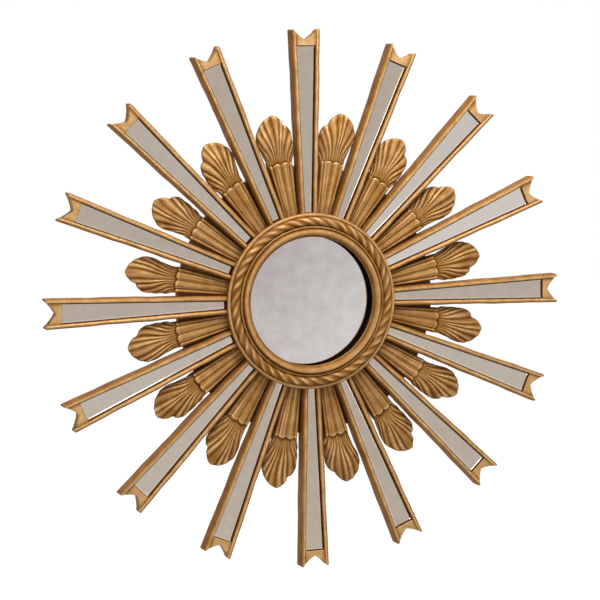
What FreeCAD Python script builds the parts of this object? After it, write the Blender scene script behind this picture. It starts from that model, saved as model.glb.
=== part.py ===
import FreeCAD, Part
import math
import os

import Sketcher
from FreeCAD import Placement, Rotation, Vector

# Starburst wall mirror, in millimetres.
# The wall is the plane y = 0 and the mirror faces -Y, with +Z up.
# The origin is the star's centre on the wall, and a depth is a distance from the wall.

doc = FreeCAD.newDocument("StarburstMirror")
sizes = doc.addObject("Spreadsheet::Sheet", "Sizes")

driving_sizes = {
    # Star
    "ray_count": 16,
    "tip_radius": 500,
    "wall_gap": 6,
    "seat_gap": 0.3,
    "overrun": 5,
    # Hub board
    "hub_radius": 250,
    "hub_thick": 12,
    # Rays
    "ray_lap": 13.5,
    "ray_depth": 28,
    "ray_root_width": 33.4,
    "ray_tip_width": 55.2,
    "slot_root_width": 14.6,
    "slot_end_width": 37.4,
    "slot_end_radius": 470.3,
    "slot_depth": 9,
    "web_drop": 2.5,
    "outer_round": 5,
    "inner_slope": 1.6,
    "notch_depth": 20.2,
    "notch_blunt": 6.5,
    # Mirror strips in the rays
    "strip_thick": 3,
    "strip_bevel": 3.5,
    "strip_bevel_drop": 0.8,
    # Plumes
    "plume_lap": 7.5,
    "mouth_radius": 256,
    "finger_length": 6,
    "plume_gap": 0.8,
    "sheath_end_half": 23.5,
    "sheath_root_rise": 18,
    "sheath_end_rise": 20,
    "sheath_side_rise": 12,
    "outer_rib_drop": 2,
    "rib_relief": 3.6,
    "rib_count": 4,
    "leaf_tip_radius": 354.5,
    "leaf_half": 34,
    "leaf_root_rise": 15,
    "leaf_crown_rise": 18.5,
    "leaf_rim_rise": 10.5,
    "leaf_side_drop": 5,
    "pleat_depth": 2.4,
    # Centre frame
    "sight_radius": 119.5,
    "roll_radius": 9.5,
    "roll_rise": 6,
    "roll_width": 16.5,
    "lip_set": 2.1,
    "centre_recess": 11,
    "groove_land": 3.7,
    "land_drop": 0.6,
    "channel_width": 18.3,
    "bead_width": 5.5,
    "bead_rise": 1.4,
    "bead_drop": 2.8,
    "channel_rise": 6,
    # Rope in the frame's channel
    "rope_height": 8.5,
    "rope_strands": 40,
    "rope_relief": 1.3,
    # Centre mirror and its backing
    "mirror_lap": 7.5,
    "mirror_thick": 4,
    "backing_sides": 8,
    "rebate_gap": 0.5,
    # Hangers
    "hanger_spread": 140,
    "hanger_height": 105,
    "strap_width": 14,
    "strap_length": 32,
    "strap_thick": 2,
    "eye_wall": 0.9,
    "eye_set": 0.05,
    "wire_radius": 1.4,
    "wire_gap": 0.05,
    "wire_sides": 8,
    "ring_half": 11,
    "ring_top_half": 6,
    "ring_side": 10,
    "ring_height": 17,
    "ring_lean": 5,
    "screw_radius": 2,
    "screw_gap": 0.05,
    "screw_bite": 9,
    "screw_head_radius": 3.8,
    "screw_head_height": 1.7,
    "screw_edge": 7,
    # Wall bumpers
    "bumper_radius": 9,
    "bumper_inset": 25,
    "bumper_count": 4,
}

for row, (alias, value) in enumerate(driving_sizes.items(), start=1):
    sizes.set(f"A{row}", alias)
    sizes.set(f"B{row}", str(value))
    sizes.setAlias(f"B{row}", alias)
doc.recompute()

# Depths from the wall, worked out from the sheet
board_front = "(Sizes.wall_gap + Sizes.hub_thick)"
ray_crest = "(Sizes.wall_gap + Sizes.hub_thick + Sizes.ray_depth)"
slot_floor = f"({ray_crest} - Sizes.slot_depth)"
mirror_face = f"({ray_crest} - Sizes.centre_recess)"

# Radii from the star's axis: the rope's channel in the ring, the ring itself and what it covers
channel_start = "(Sizes.sight_radius + Sizes.roll_width + Sizes.groove_land)"
channel_end = f"({channel_start} + Sizes.channel_width)"
frame_radius = f"({channel_end} + Sizes.bead_width)"
mirror_radius = "(Sizes.sight_radius + Sizes.mirror_lap)"
ray_start = f"({frame_radius} - Sizes.ray_lap)"

# Half widths of a ray's channel at any distance from the star's centre
slot_taper = (
    "((Sizes.slot_end_width - Sizes.slot_root_width)"
    f" / (Sizes.slot_end_radius - {ray_start}) / 2)"
)

# Shares of a rib's width and relief at the points across it: valley, two shoulders
rib_across_shares = [0, 0.26, 0.74]
rib_relief_shares = [0, 1, 1]
# Shares of the leaf's half width and length that place its lobed rim, from its left end to its right
rim_across_shares = [-0.91, -0.82, -0.57, -0.41, -0.32, -0.21, 0, 0.24, 0.41, 0.59, 0.76, 0.91, 1]
rim_along_shares = [0.58, 0.69, 0.75, 0.82, 0.89, 0.96, 1, 0.965, 0.96, 0.91, 0.82, 0.72, 0.59]
# Shares of each pleat's length at which the leaf's surface is set, and of the pleats' depth there
leaf_row_shares = [0, 0.27, 0.52, 0.8, 1]
pleat_row_shares = [0, 0.55, 0.9, 1, 1]
# Shares of the leaf's half width by which its sides swell at those places
left_swell_shares = [0, 0.11, 0.1, -0.02, 0]
right_swell_shares = [0, -0.06, 0, 0.02, 0]
# Share of the way to the rim at which the leaf stands highest
leaf_crown_share = 0.45
# Share of a full turn that a rope strand makes in one strand's spacing
strand_turn_share = 1 / 6
# Points on each strand, across it
strand_points = 2


def read(expression):
    """The value that an expression has on the sheet."""
    return float(sizes.evalExpression(expression))


def size(alias):
    """The value of one cell."""
    return read("Sizes." + alias)


def depth_point(across, depth, up):
    """A point given by its distance in front of the wall."""
    return Vector(across, -depth, up)


def turned(angle):
    """A turn about the star's axis, clockwise as seen from the front."""
    return Placement(Vector(), Rotation(Vector(0, 1, 0), angle))


def add_body(name):
    return doc.addObject("PartDesign::Body", name)


def add_sketch(body, name, role, offset):
    """An empty sketch on one of the body's planes, moved along the plane's normal."""
    sketch = body.newObject("Sketcher::SketchObject", name)
    plane = next(item for item in body.Origin.OriginFeatures if item.Role == role)
    sketch.AttachmentSupport = [(plane, "")]
    sketch.MapMode = "FlatFace"
    sketch.setExpression("AttachmentOffset.Base.z", offset)
    return sketch


def bind_point(sketch, index, point, across, up):
    """Hold one point of an element to its place, given by two expressions."""
    for kind, expression, axis in (("DistanceX", across, -2), ("DistanceY", up, -1)):
        if expression == "0":
            sketch.addConstraint(Sketcher.Constraint("PointOnObject", index, point, axis))
            continue
        place = sketch.addConstraint(Sketcher.Constraint(kind, -1, 1, index, point, read(expression)))
        sketch.setExpression(f"Constraints[{place}]", expression)


def add_outline(body, name, role, offset, corners):
    """A sketch of a closed outline with straight sides, its corners given by expressions."""
    sketch = add_sketch(body, name, role, offset)
    places = [Vector(read(across), read(up), 0) for across, up in corners]
    for start, end in zip(places, places[1:] + places[:1]):
        sketch.addGeometry(Part.LineSegment(start, end), False)
    for index, (across, up) in enumerate(corners):
        following = (index + 1) % len(corners)
        sketch.addConstraint(Sketcher.Constraint("Coincident", index, 2, following, 1))
        bind_point(sketch, index, 1, across, up)
    return sketch


def add_circle(body, name, offset, across, up, radius):
    """A sketch of one circle, seen from the front."""
    sketch = add_sketch(body, name, "XZ_Plane", offset)
    centre = Vector(read(across), read(up), 0)
    sketch.addGeometry(Part.Circle(centre, Vector(0, 0, 1), read(radius)), False)
    bind_point(sketch, 0, 3, across, up)
    place = sketch.addConstraint(Sketcher.Constraint("Radius", 0, read(radius)))
    sketch.setExpression(f"Constraints[{place}]", radius)
    return sketch


def add_feature(body, kind, name, sketch, length):
    """A pad or pocket of a sketch, as deep as the expression says."""
    feature = body.newObject("PartDesign::" + kind, name)
    feature.Profile = sketch
    feature.Type = 0
    feature.setExpression("Length", length)
    return feature


def add_edge_feature(body, kind, name, base, picks):
    """A fillet or chamfer on the edges of the base that a test picks."""
    doc.recompute()
    edges = [f"Edge{number}" for number, edge in enumerate(base.Shape.Edges, start=1) if picks(edge)]
    feature = body.newObject("PartDesign::" + kind, name)
    feature.Base = (base, edges)
    return feature


def facet_solid(facets):
    """A solid bounded by flat facets, each a list of corners."""
    faces = [Part.Face(Part.makePolygon(list(corners) + [corners[0]])) for corners in facets]
    shell = Part.Shell(faces)
    shell.sewShape()
    solid = Part.Solid(shell)
    if solid.Volume < 0:
        solid.reverse()
    return solid


def add_shape(name, shape, placement=None):
    """A finished piece that holds a shape."""
    piece = doc.addObject("Part::Feature", name)
    piece.Label = name
    piece.Shape = shape
    if placement is not None:
        piece.Placement = placement
    return piece


def slot_half(up):
    """Half the width of a ray's channel at a distance from the star's centre."""
    return f"(Sizes.slot_root_width / 2 + {slot_taper} * ({up} - {ray_start}))"


def trapezoid(low, low_half, high, high_half):
    """Corners of a symmetric trapezoid that stands upright."""
    return [
        (f"-{low_half}", low),
        (low_half, low),
        (high_half, high),
        (f"-{high_half}", high),
    ]


# Hub board
def make_hub_board():
    """The round board that carries every piece, with a hole for each hanger's screw."""
    board = add_body("hub_board")
    disc = add_circle(board, "board_disc", "Sizes.wall_gap", "0", "0", "Sizes.hub_radius")
    add_feature(board, "Pad", "board_blank", disc, "Sizes.hub_thick")
    for side, sign in (("left", "-"), ("right", "")):
        hole = add_circle(
            board, f"{side}_screw_hole", "(Sizes.wall_gap + Sizes.screw_bite)",
            sign + "Sizes.hanger_spread", screw_height, "Sizes.screw_radius + Sizes.screw_gap",
        )
        board.Tip = add_feature(board, "Pocket", f"{side}_screw_hole_cut", hole, "Sizes.screw_bite")
    doc.recompute()
    return board


# Rays
def make_ray_blank():
    """The upright ray: a tapered bar with a notched end, two rounded mouldings and a channel."""
    ray = add_body("ray_blank")
    root_half = "Sizes.ray_root_width / 2"
    tip_half = "Sizes.ray_tip_width / 2"
    notch_half = "(Sizes.ray_tip_width / 2 - Sizes.notch_blunt)"
    outline = [
        (f"-{root_half}", ray_start),
        (root_half, ray_start),
        (tip_half, "Sizes.tip_radius"),
        (notch_half, "Sizes.tip_radius"),
        ("0", "Sizes.tip_radius - Sizes.notch_depth"),
        (f"-{notch_half}", "Sizes.tip_radius"),
        (f"-{tip_half}", "Sizes.tip_radius"),
    ]
    face = add_outline(ray, "ray_face", "XZ_Plane", board_front, outline)
    add_feature(ray, "Pad", "ray_bar", face, "Sizes.ray_depth")
    low = f"({ray_start} - Sizes.overrun)"
    high = "(Sizes.tip_radius + Sizes.overrun)"
    web_face = add_outline(
        ray, "web_face", "XZ_Plane", ray_crest, trapezoid(low, slot_half(low), high, slot_half(high)),
    )
    add_feature(ray, "Pocket", "web", web_face, "Sizes.web_drop")
    slot_face = add_outline(
        ray, "slot_face", "XZ_Plane", ray_crest,
        trapezoid(low, slot_half(low), "Sizes.slot_end_radius", slot_half("Sizes.slot_end_radius")),
    )
    slot = add_feature(ray, "Pocket", "slot", slot_face, "Sizes.slot_depth")
    doc.recompute()

    crest = read(ray_crest)
    margin = size("seat_gap")
    long_run = (size("tip_radius") - read(ray_start)) / 2

    def on_crest(edge):
        flat = all(abs(vertex.Point.y + crest) < margin for vertex in edge.Vertexes)
        return flat and edge.Length > long_run

    def beside_channel(edge):
        low_end = min(edge.Vertexes, key=lambda vertex: vertex.Point.z).Point
        return abs(abs(low_end.x) - size("slot_root_width") / 2) < margin

    outer = add_edge_feature(
        ray, "Fillet", "outer_rounds", slot, lambda edge: on_crest(edge) and not beside_channel(edge),
    )
    outer.setExpression("Radius", "Sizes.outer_round")
    inner = add_edge_feature(
        ray, "Chamfer", "inner_slopes", outer, lambda edge: on_crest(edge) and beside_channel(edge),
    )
    inner.setExpression("Size", "Sizes.inner_slope")
    ray.Tip = inner
    doc.recompute()
    return ray


def make_strip_blank():
    """The upright strip of mirror: a tapered plate with a bevelled front."""
    strip = add_body("strip_blank")
    high = "(Sizes.slot_end_radius - Sizes.seat_gap)"
    low_half = f"({slot_half(ray_start)} - Sizes.seat_gap)"
    high_half = f"({slot_half(high)} - Sizes.seat_gap)"
    face = add_outline(
        strip, "strip_face", "XZ_Plane", slot_floor, trapezoid(ray_start, low_half, high, high_half),
    )
    plate = add_feature(strip, "Pad", "strip_plate", face, "Sizes.strip_thick")
    doc.recompute()
    front = read(slot_floor) + size("strip_thick")
    bevel = add_edge_feature(
        strip, "Chamfer", "strip_bevel_cut", plate,
        lambda edge: all(abs(vertex.Point.y + front) < size("seat_gap") for vertex in edge.Vertexes),
    )
    bevel.ChamferType = 1
    bevel.FlipDirection = True
    bevel.setExpression("Size", "Sizes.strip_bevel")
    bevel.setExpression("Size2", "Sizes.strip_bevel_drop")
    strip.Tip = bevel
    doc.recompute()
    return strip


# Plumes
def make_plume():
    """A plume cast in one piece: a fluted sheath whose scalloped mouth stands over a pleated leaf.

    The front is one sheet of facets. Its columns run from root to tip, along the sheath's ribs and on
    along the leaf's pleats, and it steps down at the mouth.
    """
    board = read(board_front)
    front = sheath_rows() + leaf_rows()
    rows = [[depth_point(x, board + rise, z) for x, rise, z in row] for row in front]
    feet = [[depth_point(x, board, z) for x, rise, z in row] for row in front]
    last = len(rows[0]) - 1
    facets = []
    for low in range(len(rows) - 1):
        for column in range(last):
            facets += quad_facets(rows, low, column, flip=column % 2 == 1)
    for column in (0, last):
        facets.append([feet[0][column]] + [row[column] for row in rows[:3]] + [feet[2][column]])
        for low in range(2, len(rows) - 1):
            high = low + 1
            facets.append([feet[low][column], rows[low][column], rows[high][column], feet[high][column]])
    for column in range(last):
        facets.append([feet[-1][column], rows[-1][column], rows[-1][column + 1], feet[-1][column + 1]])
    facets.append(rows[0] + [feet[0][-1], feet[0][0]])
    side_rows = [0] + list(range(2, len(rows) - 1))
    left_side = [feet[row][0] for row in side_rows]
    right_side = [feet[row][-1] for row in reversed(side_rows)]
    facets.append(left_side + feet[-1] + right_side)
    return facet_solid(facets)


def quad_facets(rows, low, column, flip):
    """Two facets that fill the space between two rows and two columns."""
    first, second = rows[low][column], rows[low][column + 1]
    third, fourth = rows[low + 1][column + 1], rows[low + 1][column]
    if flip:
        return [[first, second, fourth], [second, third, fourth]]
    return [[first, second, third], [first, third, fourth]]


def sheath_rows():
    """The sheath's root and its mouth: places across, heights above the board, places along.

    The ribs lie side by side, and each ends in a finger that reaches past the valleys beside it.
    """
    count = int(size("rib_count"))
    start = read(frame_radius) - size("plume_lap")
    ends = [
        (start, 0, half_space(start) - size("plume_gap"), size("sheath_root_rise")),
        (size("mouth_radius"), size("finger_length"), size("sheath_end_half"), size("sheath_end_rise")),
    ]
    rows = []
    for along, finger, half, crest in ends:
        row = []
        for rib in range(count):
            height = crest - (size("outer_rib_drop") if rib in (0, count - 1) else 0)
            for across, relief in zip(rib_across_shares, rib_relief_shares):
                side = 2 * (rib + across) / count - 1
                valley = size("sheath_side_rise") if side == -1 else crest - size("rib_relief")
                row.append((half * side, height if relief else valley, along + finger * relief))
        row.append((half, size("sheath_side_rise"), along))
        rows.append(row)
    return rows


def half_space(along):
    """Half the width between two neighbouring rays, at a distance along the line midway between them."""
    half_pitch = math.pi / size("ray_count")
    root_half, tip_half = size("ray_root_width") / 2, size("ray_tip_width") / 2
    taper = (tip_half - root_half) / (size("tip_radius") - read(ray_start))
    ray_half = root_half + taper * (along * math.cos(half_pitch) - read(ray_start))
    return (along * math.sin(half_pitch) - ray_half) / (math.cos(half_pitch) + taper * math.sin(half_pitch))


def leaf_rows():
    """The leaf's surface, from the foot of the sheath's mouth to its lobed rim.

    Each column is a straight line from the mouth to the rim, swollen at the leaf's sides. The surface
    rises to its crown and falls to the rim, it falls towards the sides, and every other column is a valley.
    """
    mouth = sheath_rows()[1]
    last = len(mouth) - 1
    length = size("leaf_tip_radius") - size("mouth_radius")
    rows = []
    for number, share in enumerate(leaf_row_shares):
        row = []
        for column in range(last + 1):
            side = 2 * column / last - 1
            root_across, root_rise, root_along = mouth[column]
            rim_across = size("leaf_half") * rim_across_shares[column]
            rim_along = size("mouth_radius") + length * rim_along_shares[column]
            swell_share = (left_swell_shares if side < 0 else right_swell_shares)[number]
            swell = math.copysign(size("leaf_half") * swell_share * side**4, side)
            across = root_across + (rim_across - root_across) * share + swell
            along = root_along + (rim_along - root_along) * share
            drop = size("leaf_side_drop") * side**4 * (1 - share)
            pleat = size("pleat_depth") * pleat_row_shares[number] if column % 2 == 0 else 0
            row.append((across, leaf_rise(share) - drop - pleat, along))
        rows.append(row)
    return rows


def leaf_rise(share):
    """Height of the leaf above the board: a quarter wave up to its crown and another down to its rim."""
    if share < leaf_crown_share:
        low = size("leaf_root_rise")
        step = share / leaf_crown_share
    else:
        low = size("leaf_rim_rise")
        step = (1 - share) / (1 - leaf_crown_share)
    return low + (size("leaf_crown_rise") - low) * math.sin(step * math.pi / 2)


# Centre frame
def make_centre_frame():
    """The turned ring: rebate, sight edge, inner roll, land, rope channel, outer bead and flat back."""
    frame = add_body("centre_frame")
    rebate = f"({mirror_radius} + Sizes.rebate_gap)"
    lip = "(Sizes.sight_radius + Sizes.lip_set)"
    roll_centre = "(Sizes.sight_radius + Sizes.roll_radius)"
    roll_depth = f"({ray_crest} + Sizes.roll_rise)"
    roll_back = "sqrt(Sizes.roll_radius^2 - (Sizes.roll_radius - Sizes.lip_set)^2)"
    roll_slope = "Sizes.roll_radius * cos(45deg)"
    groove = "(Sizes.sight_radius + Sizes.roll_width)"
    groove_rise = "sqrt(Sizes.roll_radius^2 - (Sizes.roll_width - Sizes.roll_radius)^2)"
    channel_depth = f"({ray_crest} + Sizes.channel_rise)"
    bead_crest = f"({channel_end} + Sizes.bead_width / 2)"
    corners = [
        (rebate, f"-{ray_crest}"),
        (rebate, f"-{mirror_face}"),
        (lip, f"-{mirror_face}"),
        (lip, f"-({roll_depth} - {roll_back})"),
        ("Sizes.sight_radius", f"-{roll_depth}"),
        (f"({roll_centre} - {roll_slope})", f"-({roll_depth} + {roll_slope})"),
        (roll_centre, f"-({roll_depth} + Sizes.roll_radius)"),
        (groove, f"-({roll_depth} + {groove_rise})"),
        (channel_start, f"-({roll_depth} + {groove_rise} - Sizes.land_drop)"),
        (channel_start, f"-{channel_depth}"),
        (channel_end, f"-{channel_depth}"),
        (bead_crest, f"-({channel_depth} + Sizes.bead_rise)"),
        (frame_radius, f"-({channel_depth} + Sizes.bead_rise - Sizes.bead_drop)"),
        (frame_radius, f"-{ray_crest}"),
    ]
    profile = add_outline(frame, "frame_profile", "XY_Plane", "0", corners)
    ring = frame.newObject("PartDesign::Revolution", "frame_ring")
    axis = next(item for item in frame.Origin.OriginFeatures if item.Role == "Y_Axis")
    ring.Profile = profile
    ring.ReferenceAxis = (axis, [""])
    ring.Angle = 360
    doc.recompute()
    return frame


def make_rope():
    """The rope laid in the ring's channel, half of it showing.

    Across the rope, the surface is half an oval. A strand turns outwards as it goes round the ring
    counter-clockwise, so its crest moves one point across at every step round the ring.
    """
    centre = (read(channel_start) + read(channel_end)) / 2
    half = size("channel_width") / 2 - size("seat_gap")
    bed = read(ray_crest) + size("channel_rise")
    points = round(strand_points / strand_turn_share / 2)
    steps = strand_points * int(size("rope_strands"))
    rows = []
    for step in range(steps):
        around = 360 * step / steps
        row = []
        for point in range(points + 1):
            turn = math.pi * point / points
            sunk = size("rope_relief") if (point + step) % strand_points == 0 else 0
            radius = centre - (half - sunk) * math.cos(turn)
            depth = bed + (size("rope_height") - sunk) * math.sin(turn)
            row.append(turned(-around).multVec(depth_point(0, depth, radius)))
        rows.append(row)
    facets = []
    for step in range(steps):
        near, far = rows[step], rows[(step + 1) % steps]
        for point in range(points):
            facets.append((near[point], near[point + 1], far[point + 1]))
            facets.append((near[point], far[point + 1], far[point]))
        facets.append((near[0], far[0], far[-1]))
        facets.append((near[0], far[-1], near[-1]))
    return facet_solid(facets)


# Hangers
screw_height = "(Sizes.hanger_height - Sizes.strap_length + Sizes.screw_edge)"
eye_outer = "(Sizes.wire_radius + Sizes.wire_gap + Sizes.eye_wall)"
eye_depth = f"(Sizes.wall_gap - {eye_outer} - Sizes.eye_set)"


def make_hanger_screws():
    """A pan-head screw through each strap into the board."""
    screws = []
    for side in (-1, 1):
        seat = depth_point(
            side * size("hanger_spread"), size("wall_gap") - size("strap_thick"), read(screw_height),
        )
        shank_length = size("strap_thick") + size("screw_bite")
        shank = Part.makeCylinder(size("screw_radius"), shank_length, seat, Vector(0, -1, 0))
        head = Part.makeCylinder(
            size("screw_head_radius"), size("screw_head_height"), seat, Vector(0, 1, 0),
        )
        screws.append(shank.fuse(head).removeSplitter())
    return Part.makeCompound(screws)


def add_strap(side, sign):
    """One strap: a plate with a rolled eye at its top and a screw hole near its foot."""
    plate = doc.addObject("Part::Box", f"{side}_plate")
    plate.setExpression("Length", "Sizes.strap_width")
    plate.setExpression("Width", "Sizes.strap_thick")
    plate.setExpression("Height", "Sizes.strap_length")
    plate.setExpression("Placement.Base.x", f"{sign}Sizes.hanger_spread - Sizes.strap_width / 2")
    plate.setExpression("Placement.Base.y", "-Sizes.wall_gap")
    plate.setExpression("Placement.Base.z", "Sizes.hanger_height - Sizes.strap_length")
    eye = add_rod(f"{side}_eye", sign, eye_outer)
    bore = add_rod(f"{side}_bore", sign, "(Sizes.wire_radius + Sizes.wire_gap)")
    blank = doc.addObject("Part::Fuse", f"{side}_strap_blank")
    blank.Base = plate
    blank.Tool = eye
    hole = doc.addObject("Part::Cylinder", f"{side}_screw_hole_tool")
    hole.setExpression("Radius", "Sizes.screw_radius + Sizes.screw_gap")
    hole.setExpression("Height", "Sizes.strap_thick")
    hole.Placement = Placement(Vector(), Rotation(Vector(1, 0, 0), 90))
    hole.setExpression("Placement.Base.x", f"{sign}Sizes.hanger_spread")
    hole.setExpression("Placement.Base.y", "Sizes.strap_thick - Sizes.wall_gap")
    hole.setExpression("Placement.Base.z", screw_height)
    cutters = doc.addObject("Part::Compound", f"{side}_cutters")
    cutters.Links = [bore, hole]
    strap = doc.addObject("Part::Cut", f"{side}_strap")
    strap.Base = blank
    strap.Tool = cutters
    return strap


def add_rod(name, sign, radius):
    """A round bar along X, as long as a strap is wide, on the axis of its eye."""
    rod = doc.addObject("Part::Cylinder", name)
    rod.setExpression("Radius", radius)
    rod.setExpression("Height", "Sizes.strap_width")
    rod.Placement = Placement(Vector(), Rotation(Vector(0, 1, 0), 90))
    rod.setExpression("Placement.Base.x", f"{sign}Sizes.hanger_spread - Sizes.strap_width / 2")
    rod.setExpression("Placement.Base.y", f"-{eye_depth}")
    rod.setExpression("Placement.Base.z", "Sizes.hanger_height")
    return rod


def make_hanger_ring(sign):
    """A ring of bent wire: its round bar turns in the strap's eye, and its loop hangs over the plate."""
    half, top_half = size("ring_half"), size("ring_top_half")
    side, height = size("ring_side"), size("ring_height")
    radius = size("wire_radius")
    middle = depth_point(sign * size("hanger_spread"), read(eye_depth), size("hanger_height"))
    corners = [(0, 0), (half, 0), (half, side), (top_half, height)]
    corners += [(-top_half, height), (-half, side), (-half, 0), (0, 0)]
    path = Part.makePolygon([middle + Vector(x, 0, -z) for x, z in corners])
    count = int(size("wire_sides"))
    turns = [2 * math.pi * number / count for number in range(count + 1)]
    section = [middle + Vector(0, radius * math.cos(turn), radius * math.sin(turn)) for turn in turns]
    loop = Part.Wire(path).makePipeShell([Part.makePolygon(section)], True, False, 1)
    bar_length = size("strap_width") + 2 * radius
    bar = Part.makeCylinder(radius, bar_length, middle - Vector(bar_length / 2, 0, 0), Vector(1, 0, 0))
    ring = loop.fuse(bar).removeSplitter()
    ring.rotate(middle, Vector(1, 0, 0), size("ring_lean"))
    return ring


# Assembly
def build():
    """Every piece of the mirror, by its file's name."""
    pieces = {"hub_board": make_hub_board()}

    ray_shape = make_ray_blank().Shape
    strip_shape = make_strip_blank().Shape
    plume_shape = make_plume()
    plume_shapes = (plume_shape, plume_shape.mirror(Vector(), Vector(1, 0, 0)))
    count = int(size("ray_count"))
    pitch = 360 / count
    for number in range(count):
        tag = f"{number + 1:02d}"
        on_ray = turned(number * pitch)
        between_rays = turned((number + 1 / 2) * pitch)
        pieces[f"ray_frame_{tag}"] = add_shape(f"ray_frame_{tag}", ray_shape, on_ray)
        pieces[f"ray_mirror_{tag}"] = add_shape(f"ray_mirror_{tag}", strip_shape, on_ray)
        pieces[f"plume_{tag}"] = add_shape(f"plume_{tag}", plume_shapes[number % 2], between_rays)

    pieces["centre_frame"] = make_centre_frame()
    pieces["rope_moulding"] = add_shape("rope_moulding", make_rope())
    pieces["centre_mirror"] = add_mirror()
    pieces["mirror_backing"] = add_backing()

    straps = doc.addObject("Part::Compound", "hanger_straps")
    straps.Links = [add_strap("left", "-"), add_strap("right", "")]
    pieces["hanger_straps"] = straps
    pieces["hanger_ring_left"] = add_shape("hanger_ring_left", make_hanger_ring(-1))
    pieces["hanger_ring_right"] = add_shape("hanger_ring_right", make_hanger_ring(1))
    pieces["hanger_screws"] = add_shape("hanger_screws", make_hanger_screws())
    pieces["wall_bumpers"] = add_bumpers()
    for name, piece in pieces.items():
        piece.Label = name
    return pieces


def add_mirror():
    """The round mirror, with its face against the ring's rebate."""
    mirror = doc.addObject("Part::Cylinder", "centre_mirror")
    mirror.setExpression("Radius", mirror_radius)
    mirror.setExpression("Height", "Sizes.mirror_thick")
    mirror.Placement = Placement(Vector(), Rotation(Vector(1, 0, 0), 90))
    mirror.setExpression("Placement.Base.y", f"Sizes.mirror_thick - {mirror_face}")
    return mirror


def add_backing():
    """The eight-sided packing board that holds the mirror at its height."""
    backing = doc.addObject("Part::Prism", "mirror_backing")
    backing.setExpression("Polygon", "Sizes.backing_sides")
    backing.setExpression("Circumradius", mirror_radius)
    backing.setExpression("Height", f"{mirror_face} - Sizes.mirror_thick - {board_front}")
    backing.Placement = Placement(Vector(), Rotation(Vector(1, 0, 0), 90))
    backing.setExpression("Placement.Base.y", f"-{board_front}")
    return backing


def add_bumpers():
    """Rubber discs between the board and the wall, halfway between the quarters."""
    discs = []
    count = int(size("bumper_count"))
    for number in range(count):
        angle = f"{(number + 1 / 2) / count} * 360deg"
        bumper = doc.addObject("Part::Cylinder", f"bumper_{number + 1}")
        bumper.setExpression("Radius", "Sizes.bumper_radius")
        bumper.setExpression("Height", "Sizes.wall_gap")
        bumper.Placement = Placement(Vector(), Rotation(Vector(1, 0, 0), 90))
        bumper.setExpression("Placement.Base.x", f"(Sizes.hub_radius - Sizes.bumper_inset) * sin({angle})")
        bumper.setExpression("Placement.Base.z", f"(Sizes.hub_radius - Sizes.bumper_inset) * cos({angle})")
        discs.append(bumper)
    bumpers = doc.addObject("Part::Compound", "wall_bumpers")
    bumpers.Links = discs
    return bumpers


pieces = build()
doc.recompute()

for item in doc.Objects:
    if "Invalid" in item.State or "Error" in item.State:
        raise RuntimeError(f"{item.Name} failed to build: {item.State}")
for name, piece in pieces.items():
    shape = piece.Shape
    if shape.isNull() or not shape.isValid() or not shape.Solids:
        raise RuntimeError(f"{name} has no sound solid")

os.makedirs("parts", exist_ok=True)
for name, piece in pieces.items():
    piece.Shape.exportStep(os.path.join("parts", name + ".step"))
print(len(pieces), "pieces written")
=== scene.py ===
import math

import bpy
import numpy as np
from mathutils import Matrix, Quaternion, Vector


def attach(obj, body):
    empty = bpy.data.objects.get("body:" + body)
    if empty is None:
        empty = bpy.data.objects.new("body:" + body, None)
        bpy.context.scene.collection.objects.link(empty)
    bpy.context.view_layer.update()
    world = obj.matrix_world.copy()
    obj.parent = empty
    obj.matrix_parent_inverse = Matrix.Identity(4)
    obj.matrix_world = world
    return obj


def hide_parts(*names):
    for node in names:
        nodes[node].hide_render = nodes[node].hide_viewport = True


# Starburst wall mirror. The wall is the plane y = 0, the mirror faces -Y and +Z is up.
# Sizes in the pieces' dictionaries are in millimetres, and meshFromArrays brings them to metres.
# Places of the camera, the lamps and the floor are in metres.

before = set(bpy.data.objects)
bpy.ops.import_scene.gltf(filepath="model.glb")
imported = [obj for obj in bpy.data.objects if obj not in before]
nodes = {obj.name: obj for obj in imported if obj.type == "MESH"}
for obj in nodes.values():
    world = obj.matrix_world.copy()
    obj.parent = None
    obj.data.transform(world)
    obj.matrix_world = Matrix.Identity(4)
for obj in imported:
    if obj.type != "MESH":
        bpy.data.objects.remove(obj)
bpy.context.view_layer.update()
print("frame loaded,", len(nodes), "nodes")

mmPerMetre = 1000
rayCount = 16  # rays, their strips and the plumes between them


# Meshes from arrays

def meshFromArrays(name, points, quads, polygons=(), crest=None, sharpAngle=38):
    # points in millimetres, quads as an array of four indices each, polygons as index arrays of
    # any length. crest is one number for each point, kept as an attribute that the gilding and
    # the silvering read. Edges that bend by more than sharpAngle degrees stay sharp.
    mesh = bpy.data.meshes.new(name)
    points = np.asarray(points, float).reshape(-1, 3) / mmPerMetre
    loops = [np.asarray(quads, np.int32).ravel()]
    totals = [np.full(len(quads), 4, np.int32)]
    for polygon in polygons:
        loops.append(np.asarray(polygon, np.int32))
        totals.append(np.array([len(polygon)], np.int32))
    loops = np.concatenate(loops)
    totals = np.concatenate(totals)
    starts = np.concatenate([[0], np.cumsum(totals)[:-1]]).astype(np.int32)
    mesh.vertices.add(len(points))
    mesh.vertices.foreach_set("co", points.astype(np.float32).ravel())
    mesh.loops.add(len(loops))
    mesh.loops.foreach_set("vertex_index", loops)
    mesh.polygons.add(len(totals))
    mesh.polygons.foreach_set("loop_start", starts)
    mesh.polygons.foreach_set("loop_total", totals)
    mesh.polygons.foreach_set("use_smooth", np.ones(len(totals), bool))
    mesh.update(calc_edges=True)
    if crest is not None:
        layer = mesh.attributes.new("crest", "FLOAT", "POINT")
        layer.data.foreach_set("value", np.asarray(crest, np.float32).ravel())
    mesh.set_sharp_from_angle(angle=math.radians(sharpAngle))
    piece = bpy.data.objects.new(name, mesh)
    bpy.context.scene.collection.objects.link(piece)
    return piece


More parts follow.
